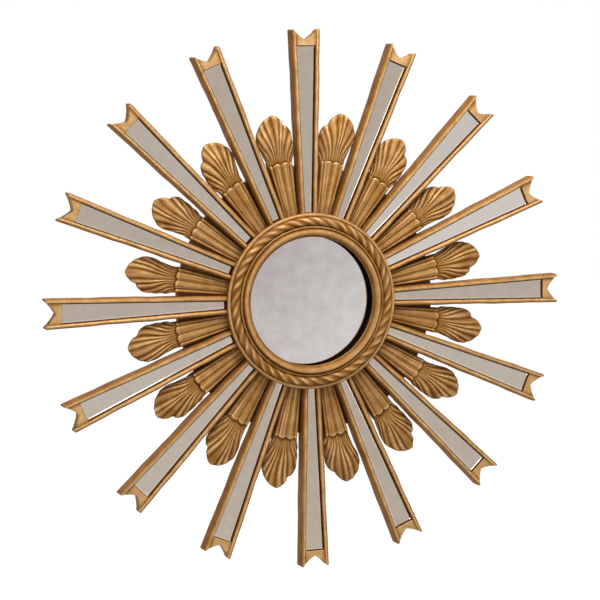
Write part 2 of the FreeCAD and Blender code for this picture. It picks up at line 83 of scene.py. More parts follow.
def gridQuads(rows, columns, wrapRows=False, wrapColumns=False):
    # index quads of a grid of points kept row by row, each quad counter-clockwise when
    # columns run right and rows run up
    r = np.arange(rows if wrapRows else rows - 1)[:, None]
    c = np.arange(columns if wrapColumns else columns - 1)[None, :]
    row, rowNext = r * columns, (r + 1) % rows * columns
    cNext = (c + 1) % columns
    quads = np.stack([row + c, row + cNext, rowNext + cNext, rowNext + c], -1)
    return quads.reshape(-1, 4)


def toFrame(points):
    # depths from the wall become places on -Y
    placed = np.array(points, float)
    placed[..., 1] *= -1
    return placed


def turned(points, degrees):
    # turned about the star's axis, clockwise as seen from the front
    angle = math.radians(degrees)
    placed = points.copy()
    placed[..., 0] = points[..., 0] * math.cos(angle) + points[..., 2] * math.sin(angle)
    placed[..., 2] = points[..., 2] * math.cos(angle) - points[..., 0] * math.sin(angle)
    return placed


def slab(name, steps, front, backDepth, crest, backCrest, sharpAngle=38, draft=1.0):
    # a closed block, turned by steps of one ray: its front is a grid of points (across, depth,
    # up), its sides drop from the grid's border to the flat back, and draft draws the back's
    # outline in towards its middle
    rows, columns = front.shape[:2]
    index = np.arange(rows * columns).reshape(rows, columns)
    border = np.concatenate([index[0], index[1:, -1], index[-1, -2::-1], index[-2:0:-1, 0]])
    points = front.reshape(-1, 3)
    rim = points[border]
    middle = rim.mean(0)
    rim = middle + (rim - middle) * draft
    rim[:, 1] = backDepth
    below = rows * columns + np.arange(len(border))
    ahead, belowAhead = np.roll(border, -1), np.roll(below, -1)
    sides = np.stack([below, belowAhead, ahead, border], -1)
    quads = np.concatenate([gridQuads(rows, columns), sides])
    points = turned(toFrame(np.concatenate([points, rim])), 360 / rayCount * steps)
    crests = np.append(crest, np.full(len(border), backCrest))
    return meshFromArrays(name, points, quads, [below[::-1]], crests, sharpAngle)


def smoothLine(values, at):
    # a smooth curve through evenly spaced values: between two of them it is a cubic whose slope
    # at each is half the difference of the values on its two sides; at runs from 0 to 1
    values = np.asarray(values, float)
    slope = np.gradient(values)
    place = np.clip(np.asarray(at, float), 0, 1) * (len(values) - 1)
    low = np.minimum(place.astype(int), len(values) - 2)
    t = place - low
    first, second = values[low], values[low + 1]
    firstSlope, secondSlope = slope[low], slope[low + 1]
    return (
        (2 * t**3 - 3 * t**2 + 1) * first + (t**3 - 2 * t**2 + t) * firstSlope
        + (3 * t**2 - 2 * t**3) * second + (t**3 - t**2) * secondSlope
    )


def softStep(x, low, high):
    # 0 below low, 1 above high, and a smooth S between them
    t = np.clip((x - low) / (high - low), 0, 1)
    return t * t * (3 - 2 * t)


def hump(x, place, width):
    # a bell: 1 at the place, about a third one width away and next to nothing two widths away
    return np.exp(-(((x - place) / width) ** 2))


def ownValue(values, number):
    # the value that a dictionary holds for one piece, counted from 1, or else its plain one
    return values.get(number + 1, values["plain"])


# Rays

rayShape = {
    "start": 150,
    "tip": 500,
    "back": 18,
    "crest": 46,
    "rootHalf": 16.7,
    "tipHalf": 27.6,
    "slotRootHalf": 7.3,
    "slotEndHalf": 18.7,
    "slotEnd": 470.3,
    "slotDepth": 9,
    "webDrop": 1.95,
    "rollOuter": 5.4,
    "rollDrop": 5,
    "innerDrop": 5,
    "wallLean": 0.05,
    "notch": 20.2,
    "notchInset": 3.06,
    "notchPower": 1.25,
    "tipRound": 1.6,
    "edgeRound": 0.7,
    "wobble": 0.4,
    # points round the outer and the inner quarter of a roll, shares across the channel's floor,
    # stations along the channel, and shares of the way from its end to the notched end
    "outerPoints": 8,
    "innerPoints": 6,
    "floorShares": [1, 0.7, 0.35, 0],
    "sections": 44,
    "endShares": [0, 0.15, 0.35, 0.55, 0.75, 0.9, 0.965, 1],
    # how light the gilding is, from dark hollows at 0 to pale ridges at 1
    "tones": {
        "side": 0.44,
        "sideBulge": 0.18,
        # ridge is a painted highlight: a thin pale line along the top of each roll
        "ridge": 0.4,
        "inner": 0.3,
        "end": 0.93,
        "endEdge": 0.6,
        "endRow": 0.75,
        "back": 0.42,
        "darkerRoot": 0.12,
        # painted shade on the channel's floor
        "paintedFloorShade": 0.55,
    },
}


def raySection(ray):
    # one half of the section, outside to middle: a quarter oval up to the ridge, a quarter oval
    # down to the channel's edge, the channel's wall and its floor. Each point is given by its
    # share of the ray's half width, its share of the channel's, and a fixed distance.
    outer = np.linspace(0, math.pi / 2, ray["outerPoints"])
    inner = np.linspace(0, math.pi / 2, ray["innerPoints"])[1:]
    floor = np.array(ray["floorShares"])
    onRolls, zeros = len(outer) + len(inner), np.zeros(len(floor))
    outerReach, innerReach = 1 - np.cos(outer), 1 - np.sin(inner)
    wide = np.concatenate([np.ones(len(outer)), innerReach, zeros])
    slot = np.concatenate([np.zeros(len(outer)), np.sin(inner), floor])
    fixed = np.concatenate([-ray["rollOuter"] * outerReach, -ray["rollOuter"] * innerReach, zeros])
    fixed[onRolls] = -ray["wallLean"]
    drop = np.concatenate([
        ray["rollDrop"] * (1 - np.sin(outer)), ray["innerDrop"] * (1 - np.cos(inner)), zeros,
    ])
    onFloor = np.concatenate([np.zeros(onRolls), np.ones(len(floor))])

    tones = ray["tones"]
    outerTone = tones["side"] + tones["sideBulge"] * np.sin(outer) ** 2
    # a painted highlight: a thin pale line along the roll's ridge
    outerTone = outerTone + tones["ridge"] * np.sin(outer) ** 12
    innerTone = tones["inner"] + (1 - tones["inner"]) * np.cos(inner) ** 1.6
    return wide, slot, fixed, drop, onFloor, np.concatenate([outerTone, innerTone, zeros])


def makeRay(ray, number):
    # a tapered bar: the half section and its mirror image are carried from station to station,
    # and the last stations run from the channel's square end to the notched end of the bar
    section = raySection(ray)
    halfPoints = len(section[0])
    side = np.concatenate([-np.ones(halfPoints), np.ones(halfPoints - 1)])
    wide, slot, fixed, drop, onFloor, crest = (np.append(half, half[-2::-1]) for half in section)

    # stations along the ray: place, how open the channel is, share of the way to the notched end
    run = np.linspace(ray["start"], ray["slotEnd"], ray["sections"])
    blockStart = ray["slotEnd"] + ray["edgeRound"]
    shares = ray["endShares"]
    place = np.concatenate([run, [ray["slotEnd"]], np.full(len(shares), blockStart)])[:, None]
    opened = np.concatenate([np.ones(len(run)), [0], np.zeros(len(shares))])[:, None]
    share = np.concatenate([np.zeros(len(run) + 1), shares])[:, None]
    fall = np.zeros_like(place) * onFloor
    fall[len(run)] = ray["edgeRound"] * onFloor
    fall[-1] = ray["edgeRound"]

    # the end's line: a V with a rounded foot between the two points, and each point rounded off
    # at its outside
    tipAcross = wide * ray["tipHalf"] + slot * ray["slotEndHalf"] + fixed
    pointAt = ray["tipHalf"] - ray["notchInset"]
    notch = ray["notch"] * np.clip(1 - (tipAcross / pointAt) ** ray["notchPower"], 0, 1)
    outside = np.clip((tipAcross - pointAt) / ray["notchInset"], 0, 1)
    endLine = ray["tip"] - notch - ray["tipRound"] * outside**2
    up = place + (endLine[None, :] - place) * share
    # the rolls' points at the channel's end stand a little apart from those of the next station
    up[len(run)] += 0.5 * ray["edgeRound"] * (1 - onFloor)

    # widths at each station, with the slight unevenness of hand work: two waves along the ray
    # that differ from ray to ray and from side to side and die out at both ends
    t = (up - ray["start"]) / (ray["tip"] - ray["start"])
    ease = ray["wobble"] * softStep(t, 0.05, 0.2) * (1 - softStep(t, 0.8, 0.92))
    uneven = ease * (
        np.sin(up * 0.047 + 1.7 * number + 2.1 * side)
        + 0.6 * np.sin(up * 0.113 + 2.9 * number - 1.3 * side)
    )
    half = ray["rootHalf"] + (ray["tipHalf"] - ray["rootHalf"]) * t
    slotRun, slotGrowth = ray["slotEnd"] - ray["start"], ray["slotEndHalf"] - ray["slotRootHalf"]
    slotHalf = ray["slotRootHalf"] + slotGrowth * (up - ray["start"]) / slotRun
    across = side * (wide * (half + uneven) + slot * slotHalf + fixed)
    floor = opened * ray["slotDepth"] + (1 - opened) * ray["webDrop"]
    depth = ray["crest"] - drop - onFloor * floor - fall
    depth = depth + 0.4 * uneven * (1 - onFloor) - 0.2 * ease
    front = np.stack([across, depth, up + 0 * across], -1)

    # the tone of the section, darker near the ring; the end is pale with a darker edge, and the
    # channel's floor is darkened with painted shade, so the gap around the strip shows as a dark
    # line
    tones = ray["tones"]
    onBlock = (1 - opened) * np.ones_like(across)
    tone = crest - tones["darkerRoot"] * (1 - softStep(t, 0.05, 0.4)) * (1 - onFloor)
    tone = tone + onFloor * onBlock * tones["end"]
    edge = np.isclose(wide, 0) & np.isclose(slot, 1) & (onFloor == 1)
    tone = np.where(edge & (onBlock > 0), tones["endEdge"], tone)
    tone[len(run)] = np.minimum(tone[len(run)], tones["endRow"])
    # painted shade on the floor of the open channel, beside the strip
    tone = tone - tones["paintedFloorShade"] * onFloor * opened
    tag = f"{number + 1:02d}"
    piece = slab(f"ray_{tag}_gilded", number, front, ray["back"], tone, tones["back"])
    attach(piece, "mirror")
    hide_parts(f"ray_frame_{tag}")
    return piece


rays = [makeRay(rayShape, number) for number in range(rayCount)]
print("rays made,", len(rays[0].data.polygons), "faces each")


# Strips of mirror in the rays

stripShape = {
    "start": 150,
    "end": 469.2,
    "startHalf": 6.0,
    "endHalf": 17.2,
    "back": 37,
    "face": 40,
    "bevel": 3.0,
    # how far the bevel falls; strips 7 and 8 have falls of their own, so that only the bevels of
    # strips 2, 3, 7 and 12 catch the small lamps
    "bevelDrops": {"plain": 0.53, 7: 0.43, 8: 0.65},
    # how pale each strip is drawn: one value for each strip listed, and a plain one for the rest
    "paleness": {
        "plain": 0.2, 3: 0.75, 4: 0.95, 6: 0.32, 8: 0.1, 9: 0.1, 11: 0.32, 12: 0.38, 15: 0.32,
    },
    "waviness": 0.012,
    "wavesUp": 0.11,
    "wavesAcross": 0.2,
    "rows": 30,
    "columns": 8,
    "sharpAngle": 4,
}


def makeStrip(strip, number):
    # a tapered plate whose face falls away in a flat bevel along its four sides; the face itself
    # is very slightly wavy, as old glass is: a sine up the strip times a cosine across it
    inset = strip["bevel"] / (strip["end"] - strip["start"])
    share = np.concatenate([[0], np.linspace(inset, 1 - inset, strip["rows"]), [1]])[:, None]
    half = strip["startHalf"] + (strip["endHalf"] - strip["startHalf"]) * share
    u = np.concatenate([[-1], np.linspace(-1, 1, strip["columns"]), [1]])[None, :]
    across = u * (half - strip["bevel"])
    across[:, 0], across[:, -1] = -half[:, 0], half[:, 0]
    up = strip["start"] + (strip["end"] - strip["start"]) * share + 0 * u
    onFace = np.zeros_like(across)
    onFace[1:-1, 1:-1] = 1
    wave = strip["waviness"] * np.sin(up * strip["wavesUp"] + 2.3 * number)
    wave = wave * np.cos(across * strip["wavesAcross"] + number)
    bevelDrop = ownValue(strip["bevelDrops"], number)
    depth = strip["face"] - (1 - onFace) * bevelDrop + wave * onFace
    front = np.stack([across, depth, up], -1)
    paleness = ownValue(strip["paleness"], number)
    tone = np.full_like(across, paleness)
    tag = f"{number + 1:02d}"
    piece = slab(
        f"ray_strip_{tag}_bevelled", number, front, strip["back"], tone, paleness,
        strip["sharpAngle"],
    )
    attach(piece, "mirror")
    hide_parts(f"ray_mirror_{tag}")
    return piece


strips = [makeStrip(stripShape, number) for number in range(rayCount)]
print("strips made,", len(strips[0].data.polygons), "faces each")


# Plumes

plumeShape = {
    "back": 18,
    "backDraft": 0.985,
    # the sheath
    "start": 156,
    "mouth": 256,
    "finger": 5,
    "sideFinger": 0.55,  # the narrow ribs' fingers, as a share of the broad ones'
    "rootHalf": 13.5,
    "mouthHalf": 23.8,
    "widthPower": 1.08,
    "flatTo": 0.45,  # the share of the half width up to which the crown doesn't drop
    "sideFrom": 0.93,  # and the share from which the side falls to the back
    "rootRise": 18,
    "mouthRise": 20,
    "sideRise": 12,
    "ribEdge": 0.68,
    "ribRelief": 3.1,
    "midRelief": 2.5,
    "ribPower": 2.1,
    "crownDrop": 2.4,
    "beadPlace": 0.978,
    "beadWidth": 0.012,
    "beadRise": 0.8,
    "mouthFall": 0.9,
    # the leaf
    "neckRise": 16.2,
    "crownRise": 19,
    "crownAt": 0.45,
    "rimRise": 10.5,
    "sideDrop": 4.5,
    "acrossPower": 1.6,
    "upPower": 0.94,
    "pleatDepth": 2.4,
    "fineDepth": 0.5,
    "forkDepth": 1.1,
    "forkWidth": 0.14,
    "sway": 1.3,
    "curl": 1.0,
    "rimFall": 1.6,
    # how far the leaf's first row lies behind the mouth's last one, and how far past it
    "behindMouth": 1.4,
    "pastMouth": 0.15,
    # the leaf's outline at evenly spaced places, from one end of the mouth round to the other: a
    # side, a small lobe, the notch, the main lobe with the tip, and the other side
    "rimAcross": [
        -24.5, -27.6, -28.4, -30.2, -31.3, -31.9, -30.6, -25.2, -19.6, -16.2, -9.8,
        -1.6, 7.4, 15.8, 23.4, 29.2, 32.8, 33, 29.6, 25.8, 22.8,
    ],
    "rimUp": [
        263, 271.5, 281, 290.5, 300, 310, 319, 326.4, 330.2, 339.4, 347.8,
        353.2, 350.8, 346.6, 339.6, 330.6, 320.8, 310, 296, 282, 268,
    ],
    # how many pleats lie before each of these shares of the outline: ends, notch and tip
    "shares": [0, 0.4, 0.55, 1],
    "pleatsBefore": [0, 4, 5.5, 11],
    # how deep the valleys are cut, from one side to the other
    "valleyCut": [0.7, 0.9, 0.75, 1.0, 1.15, 0.8, 0.75, 0.9, 1.0, 0.85, 1.1, 0.8],
    # how far each leaf leans to its right and reaches outwards at its tip, and the power of the
    # way to the tip with which both grow
    "leans": [4.5, -2, 1, -1.5, 3.5, -3.5, -4.5, -4.5, -0.5, -1.5, -0.5, -4.5, 0.5, 0, 4.5, 4.5],
    "reaches": [-1, -3, 2, 1, 4, 3, 4, 2, 3, 1, 4, 1, 2, -3, -2, -3],
    "leanPower": 1.5,
    # how much fuller a leaf is at both its sides than the outline above, and where
    "fullness": {"plain": 0.8, 1: 2.6, 2: 2.6, 4: 2.4, 15: 3.0, 16: 3.2},
    "fullAt": 0.8,
    "fullWidth": 0.22,
    "columns": 108,
    "sheathRows": 16,
    "mouthRows": [0.95, 0.962, 0.974, 0.986, 0.996, 1],
    "leafRows": 38,
    "sharpAngle": 50,
    # how light the gilding is, and how much each form lightens or darkens it
    "backTone": 0.12,
    # the sheath's ridge is a painted highlight and its side is painted shade
    "sheathTones": {
        "plain": 0.6, "groove": 0.34, "ridge": 0.4, "bead": 0.34, "side": 0.15, "root": 0.12,
    },
    # the leaf's ridge is a painted highlight and its mouth is painted shade
    "leafTones": {
        "plain": 0.5, "hollow": 0.24, "pleat": 0.42, "ridge": 0.4, "fine": 0.1, "fork": 0.25,
        "mouth": 0.36, "rim": 0.1,
    },
}


def sheathFront(plume, u, change):
    # four ribs, two broad ones in the middle and two narrow ones at the sides: across, each is a
    # raised flat oval, and at the mouth it ends in a rounded finger with a bead along it. Gives
    # the points, the tones, the fingers' lengths and how far the mouth stands off the back.
    absU = np.abs(u)
    inner = absU < plume["ribEdge"]
    middle = np.where(inner, plume["ribEdge"] / 2, (1 + plume["ribEdge"]) / 2)
    halfRib = np.where(inner, plume["ribEdge"] / 2, (1 - plume["ribEdge"]) / 2)
    offset = (absU - middle) / halfRib
    nearMiddle = inner & (offset < 0)
    valley = np.where(nearMiddle, plume["midRelief"], plume["ribRelief"])
    relief = valley * np.abs(offset) ** plume["ribPower"]
    crown = plume["crownDrop"] * softStep(absU, plume["flatTo"], 1)
    sideEdge = softStep(absU, plume["sideFrom"], 1.0)
    finger = plume["finger"] * np.sqrt(np.clip(1 - offset**2, 0, 1))
    finger = finger * np.where(inner, 1, plume["sideFinger"])

    s = np.append(np.linspace(0, 0.93, plume["sheathRows"]), plume["mouthRows"])[:, None]
    half = plume["rootHalf"] + (plume["mouthHalf"] - plume["rootHalf"]) * s ** plume["widthPower"]
    across = half * u
    up = plume["start"] + (plume["mouth"] - plume["start"]) * s + finger * s**6
    rise = plume["rootRise"] + (plume["mouthRise"] - plume["rootRise"]) * s
    rise = rise - crown - relief * (0.55 + 0.45 * s)
    bead = hump(s, plume["beadPlace"], plume["beadWidth"])
    lip = plume["beadRise"] * bead - plume["mouthFall"] * softStep(s, 0.984, 1.0)
    rise = rise + lip * (1 - sideEdge)
    rise = rise * (1 - sideEdge) + plume["sideRise"] * sideEdge

    # painted highlights as light ridges that wax and wane along each rib, dark grooves between the
    # ribs, streaks, and painted shade on the sides; darker at the root
    tones = plume["sheathTones"]
    groove = np.where(nearMiddle, 0.7, 1.0) * np.abs(offset) ** 5
    ridge = hump(absU, 0.56, 0.05) * (0.7 + 0.4 * np.sin(5 * s + change + 2 * np.sign(u)))
    ribShine = 0.4 + 0.4 * np.sin(2 * change + 3 * np.sign(u) - 2 * s)
    ridge = ridge + hump(offset, -0.15, 0.2) * ribShine
    streak = 0.05 * np.sin(31 * u + change + 2 * s) + 0.04 * np.sin(53 * u - 1.3 * change - 3 * s)
    tone = tones["plain"] - tones["groove"] * groove + tones["ridge"] * ridge + streak
    tone = tone + tones["bead"] * bead - tones["side"] * sideEdge
    tone = tone - tones["root"] * (1 - softStep(s, 0.0, 0.12))
    return np.stack([across, plume["back"] + rise, up], -1), tone, finger, rise[-1]


def leafFront(plume, u, change, fullness, finger, mouthRise):
    # lines from the mouth to the rim that rise first and bend outwards late, so the outer
    # ones end at the sides; the body is highest between mouth and rim, and pleats are cut into
    # it as rounded ridges with narrow valleys. Gives the points and the tones.
    absU = np.abs(u)
    v = np.concatenate([[0.0, 0.015], np.linspace(0.04, 0.97, plume["leafRows"]), [0.985, 1]])
    v = v[:, None]
    place = (u + 1) / 2
    rimAcross = smoothLine(plume["rimAcross"], place)
    fuller = hump(absU, plume["fullAt"], plume["fullWidth"])
    rimAcross = rimAcross + fullness * np.sign(u) * fuller
    rimUp = smoothLine(plume["rimUp"], place)
    along = np.hypot(np.gradient(rimAcross), np.gradient(rimUp))
    outAcross, outUp = -np.gradient(rimUp) / along, np.gradient(rimAcross) / along

    # the pleats' count from one side, drawn to and fro a little; wave is 0 on a pleat's ridge and
    # -1 in a valley, fine cuts some ridges in two, and fork is the cleft at the leaf's tip
    phase = np.interp(place, plume["shares"], plume["pleatsBefore"])
    calm = np.sin(math.pi * place)
    phase = phase + 0.16 * np.sin(2.1 * phase + change) * calm
    phase = phase + 0.24 * np.sin(math.pi * v) * calm * np.sin(0.9 * phase + 2 * v + 0.7 * change)
    cut = smoothLine(plume["valleyCut"], place)
    wave = np.abs(np.sin(math.pi * phase)) - 1
    fine = np.abs(np.sin(2 * math.pi * phase + 0.7)) - 1
    fine = fine * (0.5 + 0.5 * np.sin(1.7 * phase + change))
    tipPhase = plume["pleatsBefore"][2]
    fork = hump(phase, tipPhase, plume["forkWidth"]) * softStep(v, 0.66, 0.84)

    # places, with the rim's edge following the pleats and the pleats swaying on their way
    side = absU**3
    mouthAcross = plume["mouthHalf"] * u
    mouthUp = plume["mouth"] + finger
    across = mouthAcross + (rimAcross - mouthAcross) * v ** plume["acrossPower"]
    up = mouthUp + (rimUp - mouthUp) * v ** plume["upPower"]
    edge = softStep(v, 0.82, 1) * (0.75 * wave - 1.2 * fork)
    sway = plume["sway"] * np.sin(2 * math.pi * (v + 0.05)) * np.sin(math.pi * u)
    across = across + edge * outAcross
    across = across - sway * (1 - side) * softStep(v, 0, 0.2) * (1 - softStep(v, 0.85, 1))
    up = up + edge * outUp

    # heights: two quarter waves up to the crown and down to the rim, then the pleats, which start
    # shallow at the mouth, and the curl of the rim
    crownAt, rim = plume["crownAt"], plume["rimRise"]
    neck = plume["neckRise"] - plume["sideDrop"] * side
    top = neck + (plume["crownRise"] - plume["neckRise"]) * (1 - absU**2)
    rising = neck + (top - neck) * np.sin(np.clip(v / crownAt, 0, 1) * math.pi / 2)
    falling = rim + (top - rim) * np.sin(np.clip((1 - v) / (1 - crownAt), 0, 1) * math.pi / 2)
    body = np.where(v < crownAt, rising, falling)
    grown = 0.3 + 0.7 * softStep(v, 0.02, 0.42)
    depthShare = grown * (1 - 0.3 * softStep(v, 0.85, 1)) * (1 - 0.6 * side)
    pleat = plume["pleatDepth"] * cut * wave * depthShare
    pleat = pleat + plume["fineDepth"] * fine * softStep(v, 0.1, 0.4) - plume["forkDepth"] * fork
    curl = plume["curl"] * softStep(v, 0.78, 0.95) * (1 - side)
    curl = curl - plume["rimFall"] * softStep(v, 0.972, 1)
    rise = body + pleat + curl
    rise[0] = np.minimum(rise[0], mouthRise - plume["behindMouth"])

    # painted highlights on the pleats' ridges that wax and wane, and painted shade just above the
    # mouth
    tones = plume["leafTones"]
    high = np.clip(1 + wave, 0, 1)
    shine = 0.75 + 0.45 * np.sin(2.3 * phase + change) + 0.2 * np.sin(6 * v - change)
    pleatTone = tones["pleat"] * high + tones["ridge"] * high**4 * shine
    pleatTone = pleatTone + tones["fine"] * fine - tones["hollow"]
    tone = tones["plain"] + grown * pleatTone - tones["fork"] * fork
    tone = tone - tones["mouth"] * (1 - softStep(v, 0.0, 0.06))
    tone = tone + tones["rim"] * softStep(v, 0.93, 0.98)

    # the first row stands a hair past the mouth's last, so the wall between them is steep
    front = np.stack([across, plume["back"] + rise, up + 0 * rise], -1)
    front[0, :, 2] += plume["pastMouth"]
    return front, tone


def makePlume(plume, number):
    # the sheath's rows and then the leaf's, mirrored in every second plume; then the leaf leans
    # and reaches out, more and more from the mouth to the tip
    u = np.linspace(-1, 1, plume["columns"] + 1)
    change = 1.9 * number  # makes each carving a little different
    sheath, sheathTone, finger, mouthRise = sheathFront(plume, u, change)
    fullness = ownValue(plume["fullness"], number)
    leaf, leafTone = leafFront(plume, u, change, fullness, finger, mouthRise)
    front = np.concatenate([sheath, leaf])
    tone = np.clip(np.concatenate([sheathTone, leafTone]), 0.02, 1)
    if number % 2 == 1:
        front = front[:, ::-1] * np.array([-1, 1, 1])
        tone = tone[:, ::-1]
    leafRun = max(plume["rimUp"]) - plume["mouth"]
    past = np.clip((front[..., 2] - plume["mouth"]) / leafRun, 0, 1) ** plume["leanPower"]
    front[..., 0] += plume["leans"][number] * past
    front[..., 2] += plume["reaches"][number] * past
    tag = f"{number + 1:02d}"
    piece = slab(
        f"plume_{tag}_carved", number + 0.5, front, plume["back"], tone, plume["backTone"],
        plume["sharpAngle"], plume["backDraft"],
    )
    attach(piece, "mirror")
    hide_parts(f"plume_{tag}")
    return piece


plumes = [makePlume(plumeShape, number) for number in range(rayCount)]
print("plumes made,", len(plumes[0].data.polygons), "faces each")


# Turned ring

ringShape = {
    "around": 300,
    "sharpAngle": 45,
    "rollCrest": (130, 61.5),
    "rollInner": (10.4, 9.5),
    "rollOuter": (4.9, 6),
    "landCentre": (137.7, 55.2),
    "landRadius": (2.1, 2.1),
    "beadCentre": (160.1, 50.6),
    "beadRadius": (3.4, 2.8),
    # first and last angle of each round, and its points
    "outerArc": (0, 90, 12),
    "innerArc": (90, 214, 22),
    "landArc": (0, 172, 9),
    "beadArc": (0, 180, 13),
    # corners of the section, as distance from the axis and depth: the foot up to the bead, the
    # rope's channel up to the land, the groove beside the roll, and the rebate from the lip on
    "foot": [(127.5, 46), (163.5, 46), (163.5, 49.0)],
    "channel": [(156.7, 50.4), (139.85, 50.4), (139.83, 54.0)],
    "groove": [(135.3, 55.2)],
    "rebate": [(121.6, 45.5), (121.6, 35), (127.5, 35)],
    # how light the gilding is at the corners and on the rounds; the rounds' ridge and the inner
    # roll's line are painted highlights
    "footTones": [0.2, 0.15, 0.35],
    "channelTones": [0.1, 0.1, 0.2],
    "grooveTones": [0.15],
    # the rebate's tones are painted shade
    "rebateTones": [-0.4, -0.4, -0.4],
    "beadTones": {"plain": 0.42, "bulge": 0, "ridge": 0.5, "power": 2},
    "landTones": {"plain": 0.38, "bulge": 0.3, "ridge": 0, "power": 1},
    "outerTones": {"plain": 0.2, "bulge": 0.22, "ridge": 0.5, "power": 10},
    "innerTones": {"plain": 0.24, "bulge": 0.1, "ridge": 0.5, "power": 12, "line": 0.7, "lip": 0.2},
}


def arc(centre, reach, first, last, count):
    # points of an arc in the ring's section, as (distance from the axis, depth), by its two
    # radii and its angles in degrees
    angle = np.radians(np.linspace(first, last, count))
    radius = centre[0] + reach[0] * np.cos(angle)
    return np.stack([radius, centre[1] + reach[1] * np.sin(angle)], -1)


def roundTone(tones, wave):
    # the tone over a round: a plain one, more with the wave, and more with its power at the ridge
    return tones["plain"] + tones["bulge"] * wave + tones["ridge"] * wave ** tones["power"]


def makeRing(ring):
    # the section runs once round: foot, bead, channel, land, roll, sight edge and rebate, and it
    # is carried round the axis; the roll is a short quarter oval outside and a long one inside
    crestRadius, crestDepth = ring["rollCrest"]
    outerReach, innerReach = ring["rollOuter"], ring["rollInner"]
    outer = arc((crestRadius, crestDepth - outerReach[1]), outerReach, *ring["outerArc"])
    inner = arc((crestRadius, crestDepth - innerReach[1]), innerReach, *ring["innerArc"])[1:]
    land = arc(ring["landCentre"], ring["landRadius"], *ring["landArc"])
    bead = arc(ring["beadCentre"], ring["beadRadius"], *ring["beadArc"])
    section = np.concatenate([
        ring["foot"], bead, ring["channel"], land, ring["groove"], outer, inner, ring["rebate"],
    ])
    # 1 for the faces inside the lip, which get black painted shade, and 0 for the gilded ones
    painted = np.ones(len(section), np.int32)
    painted[:len(section) - len(ring["rebate"]) - 1 - len(inner) // 6] = 0

    # tones: painted highlights along the ridges, a painted highlight as a pale line round the inner
    # roll, and painted shade where its lip turns in
    landTurn, beadTurn = (np.linspace(0, math.pi, len(part)) for part in (land, bead))
    outerTurn, innerTurn = (np.linspace(0, math.pi / 2, len(part)) for part in (outer, inner))
    innerTones = ring["innerTones"]
    innerTone = roundTone(innerTones, np.cos(innerTurn))
    innerTone = innerTone + innerTones["line"] * hump(innerTurn, 1.1, 0.1)
    innerTone = innerTone - innerTones["lip"] * softStep(innerTurn, 1.2, 1.4)
    tone = np.concatenate([
        ring["footTones"], roundTone(ring["beadTones"], np.sin(beadTurn)),
        ring["channelTones"], roundTone(ring["landTones"], np.sin(landTurn)),
        ring["grooveTones"], roundTone(ring["outerTones"], np.sin(outerTurn)),
        innerTone, ring["rebateTones"],
    ])

    angle = np.linspace(0, 2 * math.pi, ring["around"], endpoint=False)[:, None]
    radius, depth = section[:, 0], section[:, 1]
    points = np.stack([radius * np.sin(angle), depth + 0 * angle, radius * np.cos(angle)], -1)
    quads = gridQuads(len(angle), len(section), wrapRows=True, wrapColumns=True)
    crests = np.broadcast_to(tone, points.shape[:2])
    piece = meshFromArrays("ring_gilded", toFrame(points), quads, (), crests, ring["sharpAngle"])
    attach(piece, "mirror")
    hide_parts("centre_frame")
    return piece, np.tile(painted, len(angle))


ringPiece, rebateFaces = makeRing(ringShape)
print("ring made,", len(ringPiece.data.polygons), "faces")


# Rope

ropeShape = {
    "inner": 140,
    "outer": 156.9,
    "bed": 52,
    "height": 8.5,
    "strands": 40,
    "perHalfTurn": 1.6,
    "relief": 1.7,
    "sideRelief": 0.8,  # how far the valleys cut in sideways, as a share of their depth
    "leastSunk": 0.05,
    "lean": 0.35,
    "ridgePower": 0.75,
    "fadePower": 0.35,
    "around": 960,
    "across": 26,
    "sharpAngle": 60,
    # how light the gilding is in the valleys, on the strands and in the dashes of painted highlight
    # along their ridges
    "tones": {"valley": 0.27, "strand": 0.3, "dash": 0.52},
}


def makeRope(rope):
    # across, half an oval; each strand is a rounded ridge with sharp valleys beside it, and it
    # moves outwards as it goes round the ring counter-clockwise, seen from the front
    turn = np.linspace(0, math.pi, rope["across"])[None, :]
    angle = np.linspace(0, 2 * math.pi, rope["around"], endpoint=False)[:, None]
    strand = -rope["strands"] * angle / (2 * math.pi) - rope["perHalfTurn"] * turn / math.pi
    part = strand - np.floor(strand)
    leaned = part + rope["lean"] * part * (1 - part)
    ridge = np.sin(math.pi * leaned) ** rope["ridgePower"]
    fade = np.sin(turn) ** rope["fadePower"]
    sunk = rope["relief"] * (1 - ridge) * fade + rope["leastSunk"]
    middle = (rope["inner"] + rope["outer"]) / 2
    half = (rope["outer"] - rope["inner"]) / 2
    radius = middle - (half - sunk * rope["sideRelief"]) * np.cos(turn)
    depth = rope["bed"] + (rope["height"] - sunk) * np.sin(turn)
    points = np.stack([radius * np.sin(angle), depth, radius * np.cos(angle)], -1)

    # each strand has a painted highlight, a dash of its own strength, and the rope is painted
    # lighter towards its outside, where its highlights lie
    tones = rope["tones"]
    dash = 0.7 + 0.3 * np.sin(np.floor(strand) * 2.4 + 3 * turn)
    outward = np.sin(turn * (turn / math.pi) ** 0.25)
    crests = tones["strand"] * ridge + tones["dash"] * dash * ridge**10
    crests = tones["valley"] + crests * (0.25 + 0.75 * outward)
    quads = gridQuads(rope["around"], rope["across"], wrapRows=True, wrapColumns=True)
    points, quads = toFrame(points), quads[:, ::-1]
    piece = meshFromArrays("rope_carved", points, quads, (), crests, rope["sharpAngle"])
    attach(piece, "mirror")
    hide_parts("rope_moulding")
    return piece


ropePiece = makeRope(ropeShape)
print("rope made,", len(ropePiece.data.polygons), "faces")


# Hanger rings

wireShape = {
    "spread": 140,
    "height": 105,
    "eyeDepth": 3.6,
    "wire": 1.4,
    "half": 11,
    "lowHalf": 6,
    "drop": 17,
    "squareness": 0.34,
    "lean": 5,
    "around": 96,
    "facets": 14,
    "sharpAngle": 60,
}


